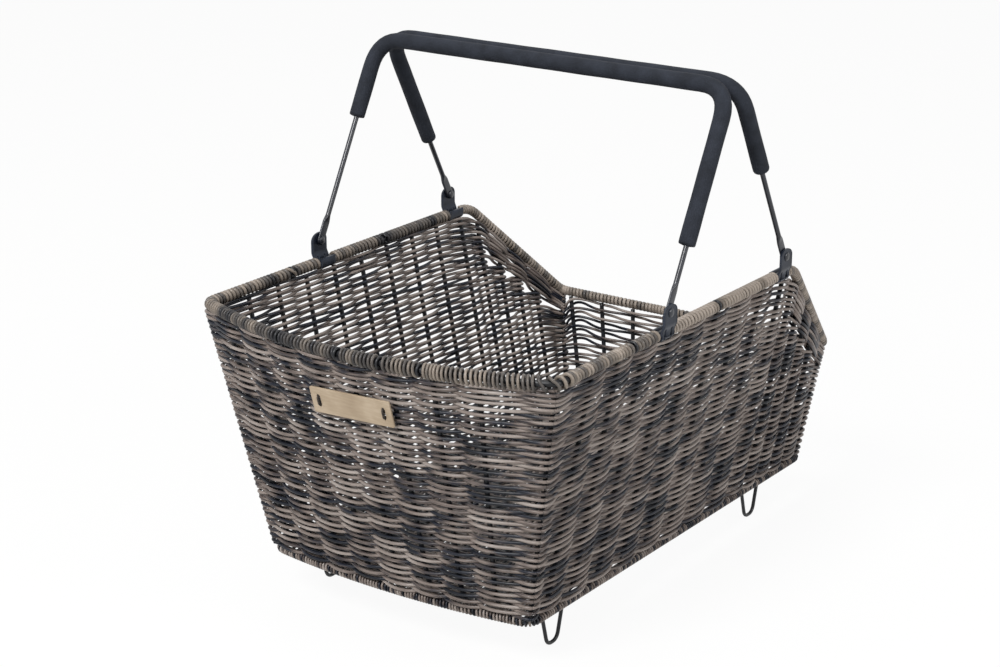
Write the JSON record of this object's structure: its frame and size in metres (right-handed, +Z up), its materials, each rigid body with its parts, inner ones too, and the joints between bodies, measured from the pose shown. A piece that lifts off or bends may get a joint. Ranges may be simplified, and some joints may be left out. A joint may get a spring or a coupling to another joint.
{
  "type": "bicycle basket",
  "caption": "Woven rear-carrier bicycle basket with a wrapped rim that slopes to a low saddle end, folding bail handles with foam grips, and wire hooks below the base.",
  "frame": {"origin": "below the middle of the rim's plan, on the surface that the hooks stand on", "axes": "+X along the bicycle towards the saddle end, +Y to the bicycle's left, +Z up"},
  "size_m": [0.4907, 0.338, 0.4134],
  "materials": {
    "strand_weave": "extruded strands in mixed taupe, brown and blue-black",
    "strand_wrap": "strand wound closely round a rod",
    "coated_wire": "dark coated steel wire",
    "painted_steel": "blue-black gloss paint",
    "foam": "charcoal closed-cell foam",
    "label": "plain tan",
    "tie": "dark cord"
  },
  "bodies": {
    "basket": {"weave_rear": "strand_weave", "weave_left": "strand_weave", "weave_right": "strand_weave", "weave_saddle": "strand_weave", "weave_floor": "strand_weave", "rim_wrap_rear": "strand_wrap", "rim_wrap_left": "strand_wrap", "rim_wrap_right": "strand_wrap", "rim_wrap_saddle": "strand_wrap", "base_wrap_rear": "strand_wrap", "base_wrap_front": "strand_wrap", "rim_rod": "coated_wire", "base_rod": "coated_wire", "cross_rib_1": "coated_wire", "cross_rib_2": "coated_wire", "cross_rib_3": "coated_wire", "cross_rib_4": "coated_wire", "cross_rib_5": "coated_wire", "cross_rib_6": "coated_wire", "cross_rib_7": "coated_wire", "cross_rib_8": "coated_wire", "cross_rib_9": "coated_wire", "cross_rib_10": "coated_wire", "cross_rib_11": "coated_wire", "cross_rib_12": "coated_wire", "cross_rib_13": "coated_wire", "long_rib_1": "coated_wire", "long_rib_2": "coated_wire", "long_rib_3": "coated_wire", "long_rib_4": "coated_wire", "long_rib_5": "coated_wire", "long_rib_6": "coated_wire", "long_rib_7": "coated_wire", "long_rib_8": "coated_wire", "corner_post_rear_left": "coated_wire", "corner_post_rear_right": "coated_wire", "corner_post_saddle_left": "coated_wire", "corner_post_saddle_right": "coated_wire", "hook_rear_left": "coated_wire", "hook_rear_right": "coated_wire", "hook_front_left": "coated_wire", "hook_front_right": "coated_wire", "bracket_rear_left": "painted_steel", "bracket_rear_right": "painted_steel", "bracket_front_left": "painted_steel", "bracket_front_right": "painted_steel", "rivet_rear_left": "painted_steel", "rivet_rear_right": "painted_steel", "rivet_front_left": "painted_steel", "rivet_front_right": "painted_steel", "label_plate": "label", "label_tie_left": "tie", "label_tie_right": "tie"},
    "rear_handle": {"rear_handle_wire": "painted_steel", "rear_handle_grip": "foam"},
    "front_handle": {"front_handle_wire": "painted_steel", "front_handle_grip": "foam"}
  },
  "joints": [
    {"name": "rear_handle_fold", "type": "hinge", "parent": "basket", "child": "rear_handle", "pos_m": [-0.06538, 0, 0.2556], "axis": [0, -1, 0], "range_deg": [0, 119]},
    {"name": "front_handle_fold", "type": "hinge", "parent": "basket", "child": "front_handle", "pos_m": [0.10912, 0, 0.2556], "axis": [0, 1, 0], "range_deg": [0, 138]}
  ]
}
